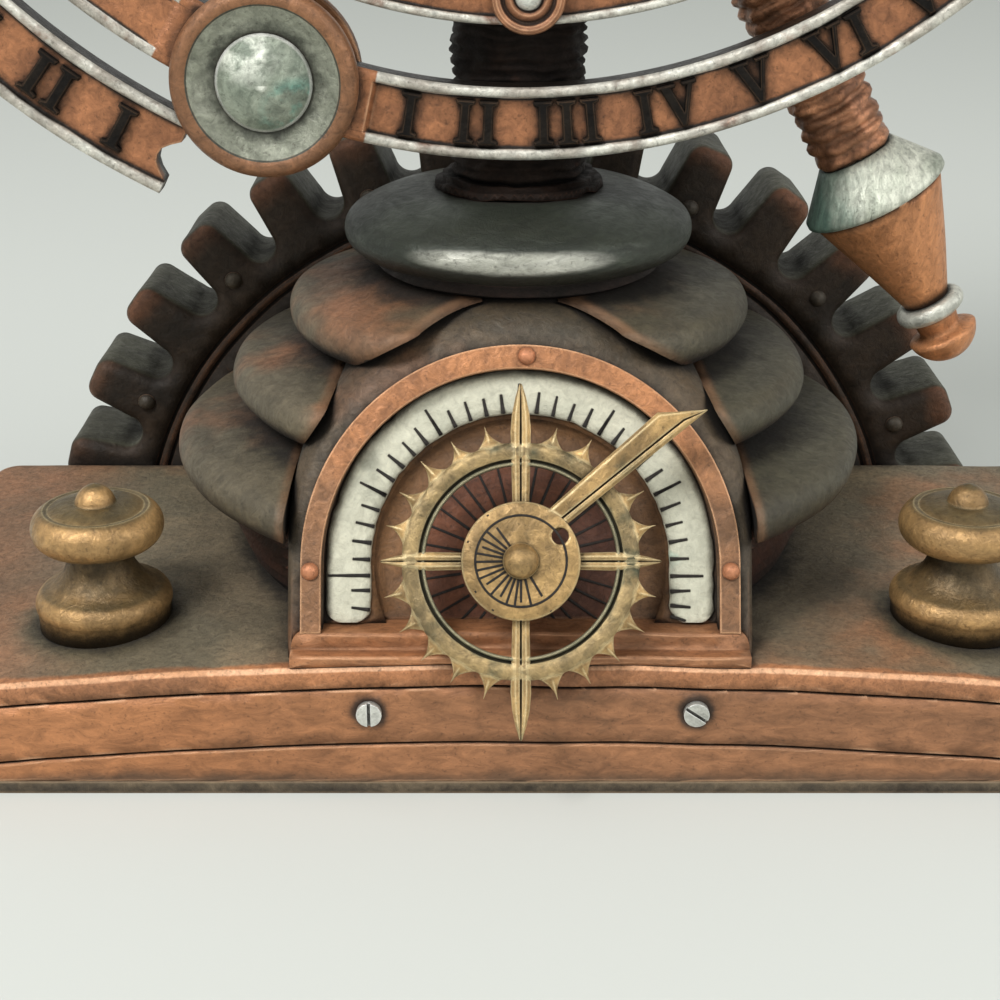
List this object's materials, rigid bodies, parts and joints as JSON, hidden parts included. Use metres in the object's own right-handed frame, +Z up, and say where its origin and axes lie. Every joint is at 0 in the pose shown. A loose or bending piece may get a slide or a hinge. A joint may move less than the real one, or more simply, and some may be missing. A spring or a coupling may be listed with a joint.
{
  "type": "desk clock",
  "caption": "Steampunk desk clock with a ringed clock head on a ribbed column, a stepped dome, a half gear behind and a gauge with a spiked wheel on an arched plinth.",
  "frame": {"origin": "centre of the underside straight below the column's axis", "axes": "+Z up, -Y towards the front of the clock, +X to the right seen from the front"},
  "size_m": [0.2117, 0.1013, 0.2822],
  "materials": {
    "copper_paint": "antique copper with worn edges",
    "deck_paint": "dark brown patina rubbed to copper",
    "bare_base": "grey-brown, dull",
    "antique_brass": "antique brass, dark in the recesses",
    "antique_silver": "antique silver, rubbed",
    "dark_column": "near-black brown, satin",
    "gear_paint": "dark brown, worn at the teeth",
    "steel": "plain steel",
    "dial_card": "aged cream enamel with plain numbers",
    "glass": "clear, flat",
    "black_plastic": "moulded, matte",
    "white_plastic": "moulded, plain",
    "dark_hand": "blackened",
    "cell_jacket": "plain jacket, no print"
  },
  "bodies": {
    "stand": {"base_body": "copper_paint", "base_deck": "deck_paint", "front_band": "copper_paint", "front_band_screws": "steel", "bottom_plate": "bare_base", "base_screws": "steel", "post_bases": "antique_brass", "gauge_housing": "copper_paint", "gauge_dial": "antique_silver", "gauge_frame": "copper_paint", "gauge_step": "copper_paint", "gauge_arbor": "antique_brass", "dome_saucer_1": "deck_paint", "dome_saucer_2": "deck_paint", "dome_saucer_3": "deck_paint", "dome_bellows": "copper_paint", "dome_foot": "deck_paint", "dome_cap": "antique_silver", "dome_tie_bolt": "steel", "column": "dark_column", "gear_plate": "gear_paint", "rivets": "copper_paint", "main_ring": "antique_silver", "inner_ring": "copper_paint", "outer_arc": "antique_silver", "boss_shells": "copper_paint", "boss_domes": "antique_silver", "boss_backplates": "copper_paint", "inner_ring_studs": "antique_silver", "ring_spider": "dark_column", "ring_saddles": "dark_column", "spider_screws": "steel", "rod_neck": "copper_paint", "rod_flange": "antique_silver", "rod_cone": "copper_paint", "rod_collar": "antique_silver", "rod_knob": "copper_paint", "rod_tail": "copper_paint", "rod_finial": "antique_brass", "clock_case": "copper_paint", "clock_dial": "dial_card", "clock_bezel": "antique_brass", "clock_glass": "glass", "movement_case": "black_plastic", "movement_cover": "black_plastic", "battery_cell": "cell_jacket", "movement_nut": "antique_brass", "stepper_motor": "steel"},
    "left_knob": {"left_post_knob": "antique_brass"},
    "right_knob": {"right_post_knob": "antique_brass"},
    "wheel": {"spiked_wheel": "antique_brass"},
    "pointer": {"gauge_pointer": "antique_brass"},
    "second": {"second_hand": "antique_brass", "second_wheel": "white_plastic"},
    "minute": {"minute_hand": "dark_hand", "minute_wheel": "white_plastic"},
    "hour": {"hour_hand": "dark_hand", "hour_wheel": "white_plastic"},
    "motion": {"motion_wheel": "white_plastic"},
    "setter": {"setting_knob": "black_plastic"}
  },
  "joints": [
    {"name": "second_turn", "type": "hinge", "parent": "stand", "child": "second", "pos_m": [0, -0.0108, 0.1796], "axis": [0, 1, 0], "continuous": true},
    {"name": "minute_turn", "type": "hinge", "parent": "stand", "child": "minute", "pos_m": [0, -0.0093, 0.1796], "axis": [0, 1, 0], "continuous": true},
    {"name": "hour_turn", "type": "hinge", "parent": "stand", "child": "hour", "pos_m": [0, -0.0076, 0.1796], "axis": [0, 1, 0], "continuous": true},
    {"name": "motion_turn", "type": "hinge", "parent": "stand", "child": "motion", "pos_m": [0.0139, 0.0021, 0.1796], "axis": [0, 1, 0], "continuous": true},
    {"name": "setter_turn", "type": "hinge", "parent": "stand", "child": "setter", "pos_m": [0.0135, 0.015, 0.1936], "axis": [0, 1, 0], "continuous": true},
    {"name": "pointer_turn", "type": "hinge", "parent": "stand", "child": "pointer", "pos_m": [0, -0.03961, 0.03178], "axis": [0, -0.9048, 0.4258], "range_deg": [-39, 140]},
    {"name": "wheel_turn", "type": "hinge", "parent": "stand", "child": "wheel", "pos_m": [0, -0.03961, 0.03178], "axis": [0, -0.9048, 0.4258], "continuous": true},
    {"name": "left_knob_turn", "type": "hinge", "parent": "stand", "child": "left_knob", "pos_m": [-0.0603, -0.0295, 0.036], "axis": [0, 0, 1], "continuous": true},
    {"name": "right_knob_turn", "type": "hinge", "parent": "stand", "child": "right_knob", "pos_m": [0.0637, -0.0295, 0.036], "axis": [0, 0, 1], "continuous": true}
  ],
  "couplings": [
    {"joint": "minute_turn", "follows": "second_turn", "ratio": 0.016667},
    {"joint": "hour_turn", "follows": "second_turn", "ratio": 0.0013889},
    {"joint": "motion_turn", "follows": "second_turn", "ratio": -0.0055556},
    {"joint": "setter_turn", "follows": "second_turn", "ratio": -0.016667}
  ]
}
